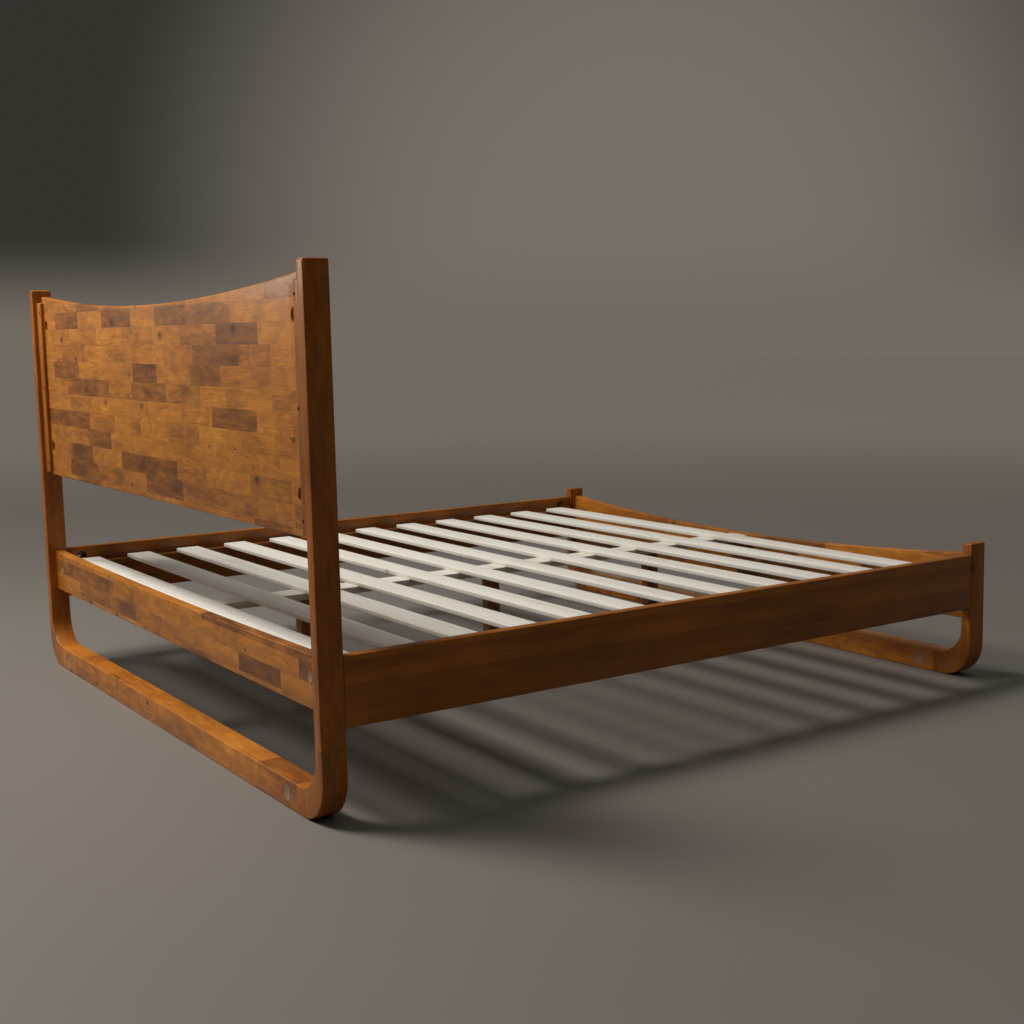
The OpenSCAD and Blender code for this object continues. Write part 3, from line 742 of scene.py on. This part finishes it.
for end in ("head", "foot"):
    caps = f"runner_caps_{end}"
    keep(build_runner(f"{end}_runner", caps), f"{end}_runner", finish["runner"])
    keep(build_caps(caps, [span(caps)[1].y]), caps, finish["cap"])

# %% [markdown]
# ## Hollow-topped boards
# The headboard and both cross rails have a top edge that dips in one long arc. The arc is
# fixed by three points: the two ends and the middle. The ring at each place along the
# board takes its height from that arc, and its corners are rounded so that the edge
# catches a line of light. Half-round pockets on the back give a spanner room to turn.

# %% Arc boards
def arc_top(node):
    """Height of the top edge at a place x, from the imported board's own ends and middle."""
    low, high = span(node)
    half = high.x
    points = [v.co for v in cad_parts[node].data.vertices]
    middle = max(p.z for p in points if abs(p.x) < 0.06 * half)
    dip = high.z - middle
    radius = (half * half + dip * dip) / (2 * dip)
    return lambda x: middle + radius - math.sqrt(max(radius * radius - x * x, 0.0))


def build_arc_board(node, edge, columns=64):
    low, high = span(node)
    top = arc_top(node)
    rings = []
    for k in range(columns + 1):
        x = low.x + (high.x - low.x) * k / columns
        outline = rounded(low.y, high.y, low.z, top(x), edge)
        rings.append([Vector((x, y, z)) for y, z in outline])
    return skin(node + "_shaped", rings)


PANEL_POCKET_IN = 49 * MM             # from the inner face of a post to a pocket's flat wall
STUD_FROM_BOTTOM = 92 * MM
STUD_FROM_TOP = 90 * MM
FLAT_AT = POCKET_FLAT * POCKET


def pocket_cutter(side, wall_x, face_y, z):
    """A round pocket with a flat wall on the side that the washer bears on."""
    centre = (side * (wall_x - FLAT_AT), face_y - POCKET_DEEP, z)
    return rod_cutter(centre, (0, 1, 0), POCKET, POCKET_DEEP + 6 * MM, 48,
                      flat=(Vector((side, 0, 0)), FLAT_AT))


post_inner = min(abs(span("head_post_right")[0].x), abs(span("head_post_right")[1].x))
pocket_wall = post_inner - PANEL_POCKET_IN

panel_low, panel_high = span("headboard_panel")
panel = settle(ease(build_arc_board("headboard_panel", EDGE + 1.0 * MM), 1.5 * MM, 2, 60))
stud_heights = (round(panel_low.z + STUD_FROM_BOTTOM, 4), round(panel_high.z - STUD_FROM_TOP, 4))
cut(panel, [pocket_cutter(side, pocket_wall, panel_high.y, z) for side in (-1, 1) for z in stud_heights])
keep(panel, "headboard_panel", finish["headboard"])

# %% Cross rails
CROSS_PIN_OUT = 2 * MM      # a pin stands a little further out than its cap
CROSS_PIN_DROP = 21 * MM    # and this far below the cap's middle

cap_low, cap_high = span("cross_rail_caps")
cap_radius = (cap_high.z - cap_low.z) / 2
cap_x = cap_high.x - cap_radius
cap_z = (cap_high.z + cap_low.z) / 2
rail_faces = []
for node, name in (("head_rail", "head rail"), ("foot_rail", "foot rail")):
    face_y = span(node)[1].y
    rail_faces.append(face_y)
    rail = settle(build_arc_board(node, EDGE))
    drills = cap_and_pin_drills(face_y, cap_x, cap_z, cap_radius,
                                cap_x + CROSS_PIN_OUT, cap_z - CROSS_PIN_DROP)
    keep(cut(rail, drills), node, finish[name])
keep(build_caps("cross_rail_caps", rail_faces), "cross_rail_caps", finish["cap"])

# %% [markdown]
# ## Side rails, battens and ledgers
# These are straight boards. Each is an outline pushed along its length and eased. The
# batten has an L-shaped outline: its core fills the space beside the post, and its lip
# laps behind the headboard.

# %% Straight boards
SIDE_POCKET_IN = 37 * MM            # from the end of a side rail to a pocket's flat wall
LOWER_STUD = 42 * MM                # above the rail's bottom edge
UPPER_STUD = 31 * MM                # below its top edge


def straight_board(node, axis, edge, segments=3):
    """A square-cut board whose long way is the given axis."""
    low, high = span(node)
    long_way = AXES[axis]
    u_axis, v_axis = [k for k in range(3) if k != long_way]
    outline = [(low[u_axis], low[v_axis]), (high[u_axis], low[v_axis]),
               (high[u_axis], high[v_axis]), (low[u_axis], high[v_axis])]

    def place(u, v, w):
        point = Vector()
        point[u_axis], point[v_axis], point[long_way] = u, v, low[long_way] + w
        return point

    board = prism(node + "_shaped", outline, place, high[long_way] - low[long_way])
    return settle(ease(board, edge, segments))


for side, name in ((-1, "left"), (1, "right")):
    node = f"side_rail_{name}"
    low, high = span(node)
    rail = straight_board(node, "Y", EDGE)
    inner_x = min(abs(low.x), abs(high.x))
    cutters = []
    for z in (low.z + LOWER_STUD, high.z - UPPER_STUD):
        for end in (-1, 1):
            wall_y = end * (high.y - SIDE_POCKET_IN)
            centre = (side * (inner_x + POCKET_DEEP), wall_y - end * FLAT_AT, z)
            cutters.append(rod_cutter(centre, (-side, 0, 0), POCKET, POCKET_DEEP + 6 * MM, 48,
                                      flat=(Vector((0, end, 0)), FLAT_AT)))
    keep(cut(rail, cutters), node, finish["side rail"])
    keep(straight_board(f"slat_ledger_{name}", "Y", 2.0 * MM), f"slat_ledger_{name}", finish["ledger"])

# %% Battens
BATTEN_GAP = 1 * MM    # between a batten's core and the edge of the headboard

for side, name in ((-1, "left"), (1, "right")):
    node = f"headboard_batten_{name}"
    low, high = span(node)
    outer = max(abs(low.x), abs(high.x))
    inner = min(abs(low.x), abs(high.x))
    core = panel_high.x + BATTEN_GAP
    outline = [(outer, low.y), (outer, high.y), (inner, high.y), (inner, panel_high.y),
               (core, panel_high.y), (core, low.y)]
    batten = prism(node + "_shaped", outline, lambda u, v, w: Vector((side * u, v, low.z + w)),
                   high.z - low.z)
    settle(ease(batten, 3.0 * MM, 4))
    keep(batten, node, finish["batten"])

# %% [markdown]
# ## Slats, centre board, blocks and legs
# Twelve loose slats lie across the ledgers and the centre board. Each is built from its
# packed box with its four corners clipped in plan, then its long edges are sanded soft.

# %% Slats
SLAT_COUNT = 12
clip = 4 * MM

for number in range(1, SLAT_COUNT + 1):
    node = f"slat_{number:02d}"
    low, high = span(node)
    outline = [(low.x + clip, low.y), (high.x - clip, low.y), (high.x, low.y + clip),
               (high.x, high.y - clip), (high.x - clip, high.y), (low.x + clip, high.y),
               (low.x, high.y - clip), (low.x, low.y + clip)]
    slat = prism(node + "_shaped", outline, lambda u, v, w: Vector((u, v, low.z + w)), high.z - low.z)
    settle(ease(slat, 1.6 * MM, 3))
    keep(slat, node, finish["slat"])

# %% Centre board, blocks and legs
keep(straight_board("centre_beam", "Y", 2.0 * MM), "centre_beam", finish["centre board"])
for node in ("beam_block_head", "beam_block_foot"):
    keep(straight_board(node, "X", 2.0 * MM), node, finish["ledger"])
for number in (1, 2, 3):
    keep(straight_board(f"support_leg_{number}", "Z", 2.5 * MM), f"support_leg_{number}", finish["leg"])

# %% [markdown]
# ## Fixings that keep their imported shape
# The studs, nuts, pins, dowels and screws are already the right shape, so they only need a
# finish.

# %% Fixings
zinc_fixings = ("panel_studs", "panel_nuts", "side_rail_studs", "side_rail_nuts", "cross_rail_studs",
                "cross_rail_nuts", "runner_studs", "runner_nuts", "fitting_pins", "batten_screws",
                "ledger_screws", "beam_screws", "leg_screws")
dowels = ("corner_dowels_head", "corner_dowels_foot", "rail_dowels")
for nodes, name in ((zinc_fixings, "zinc"), (dowels, "dowel")):
    for node in nodes:
        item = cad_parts[node]
        item.data.materials.clear()
        item.data.materials.append(finish[name])
    print(f"{name}: {len(nodes)} sets of fixings")

# %% [markdown]
# ## Floor and light
# The bed stands in a plain studio. A broad far light comes from beyond the far side and the
# head, so the slats throw soft stripes of shadow towards the viewer and the left-hand faces
# stay dark. A lamp above the head end and a warmer one beside it light the headboard.
# The floor's colour is painted paler with distance: painted light that stands in for a brighter far
# backdrop.

# %% Floor
FLOOR_HALF = 30.0             # metres from the middle to an edge
FLOOR_PAINTED_LIGHT_RANGE = (2.5, 11.0)      # where the floor starts and stops getting paler

floor_mesh = bpy.data.meshes.new("floor")
bm = bmesh.new()
bmesh.ops.create_grid(bm, x_segments=8, y_segments=8, size=FLOOR_HALF)
bm.to_mesh(floor_mesh)
bm.free()
floor = bpy.data.objects.new("floor", floor_mesh)
scene.collection.objects.link(floor)
floor_finish = bpy.data.materials.new("studio floor")
floor_finish.use_nodes = True
g = Graph(floor_finish.node_tree)
floor_shader = floor_finish.node_tree.nodes["Principled BSDF"]
mottle = g.noise(g.node("ShaderNodeTexCoord").outputs["Object"], 1.3, 4.0, 0.6)
floor_place = g.split(g.node("ShaderNodeTexCoord").outputs["Object"])
away = g.math("SQRT", g.math("ADD", g.math("MULTIPLY", floor_place[0], floor_place[0]),
                             g.math("MULTIPLY", floor_place[1], floor_place[1])))
near_floor = g.mix(mottle, (0.172, 0.155, 0.136, 1.0), (0.186, 0.168, 0.147, 1.0))
# painted light: the floor's colour is mixed paler with distance, standing in for brighter light on the far
# backdrop
g.feed(floor_shader.inputs["Base Color"],
       g.mix(g.ramp_between(away, *FLOOR_PAINTED_LIGHT_RANGE), near_floor, (0.345, 0.308, 0.268, 1.0)))
floor_shader.inputs["Roughness"].default_value = 0.62
floor_mesh.materials.append(floor_finish)
print("floor:", 2 * FLOOR_HALF, "m across")

# %% Lights
def area_light(name, place, aim, size, power, colour):
    data = bpy.data.lights.new(name, "AREA")
    data.shape = "RECTANGLE"
    data.size, data.size_y = size
    data.energy = power
    data.color = colour
    light = bpy.data.objects.new(name, data)
    scene.collection.objects.link(light)
    light.location = place
    light.rotation_euler = (Vector(aim) - Vector(place)).to_track_quat("-Z", "Y").to_euler()
    return light


KEY_WAY = Vector((0.42, 0.385, 1.0))      # from the bed towards the far light
KEY_COLOUR = (1.0, 0.965, 0.92)
sun_data = bpy.data.lights.new("far key", "SUN")
sun_data.energy = 1.12
sun_data.angle = math.radians(15)
sun_data.color = KEY_COLOUR
sun = bpy.data.objects.new("far key", sun_data)
scene.collection.objects.link(sun)
sun.rotation_euler = KEY_WAY.to_track_quat("Z", "Y").to_euler()
area_light("near key", (1.0, 2.4, 3.6), (0.0, 0.7, 0.4), (1.1, 1.1), 98, KEY_COLOUR)
area_light("head fill", (3.5, 3.4, 2.1), (-0.2, 1.0, 0.7), (1.2, 1.0), 26, (1.0, 0.93, 0.84))
print("lights:", [light.name for light in bpy.data.lights])

# %% A dim room with one glowing patch of backdrop
GLOW_TURN = math.radians(-39)
GLOW_WAY = Vector((math.cos(GLOW_TURN), math.sin(GLOW_TURN), 0.06)).normalized()

world = bpy.data.worlds.new("studio")
scene.world = world
world.use_nodes = True
g = Graph(world.node_tree)
way = g.node("ShaderNodeTexCoord").outputs["Generated"]
toward = g.node("ShaderNodeVectorMath", operation="DOT_PRODUCT")
g.feed(toward.inputs[0], way)
toward.inputs[1].default_value = GLOW_WAY
glow = g.ramp_between(toward.outputs["Value"], 0.93, 1.0)
above = g.ramp_between(g.split(way)[2], 0.25, 0.85)
room = g.mix(above, (0.036, 0.032, 0.027, 1.0), (0.210, 0.200, 0.186, 1.0))
room = g.mix(glow, room, (0.185, 0.163, 0.140, 1.0))
low = g.ramp_between(g.split(way)[2], 0.0, 0.07, 1.0, 0.0)
room = g.mix(low, room, (0.167, 0.146, 0.121, 1.0))
g.feed(world.node_tree.nodes["Background"].inputs["Color"], room)
scene.view_settings.view_transform = "Standard"
print("world:", len(world.node_tree.nodes), "nodes")

# %% [markdown]
# ## Camera
# The camera stands behind the head, on the left, a little below the top of the headboard.
# Its three axes are worked out from where it looks and how far it is rolled.

# %% Camera
CAMERA_PLACE = Vector((-3.648, 2.341, 1.048))
CAMERA_TURN = (-33.6246, -7.3521, -1.2156)    # yaw, pitch and roll in degrees

yaw, pitch, roll = (math.radians(angle) for angle in CAMERA_TURN)
ahead = Vector((math.cos(yaw) * math.cos(pitch), math.sin(yaw) * math.cos(pitch), math.sin(pitch)))
right = ahead.cross(Vector((0, 0, 1))).normalized()
up = right.cross(ahead)
tilted_right = right * math.cos(roll) + up * math.sin(roll)
tilted_up = up * math.cos(roll) - right * math.sin(roll)
camera_data = bpy.data.cameras.new("camera")
camera_data.sensor_width = 36.0
camera_data.lens = 49.966
camera = bpy.data.objects.new("camera", camera_data)
scene.collection.objects.link(camera)
turn = Matrix((tilted_right, tilted_up, -ahead)).transposed().to_4x4()
camera.matrix_world = Matrix.Translation(CAMERA_PLACE) @ turn
scene.camera = camera
print("camera at", [round(v, 3) for v in camera.location])
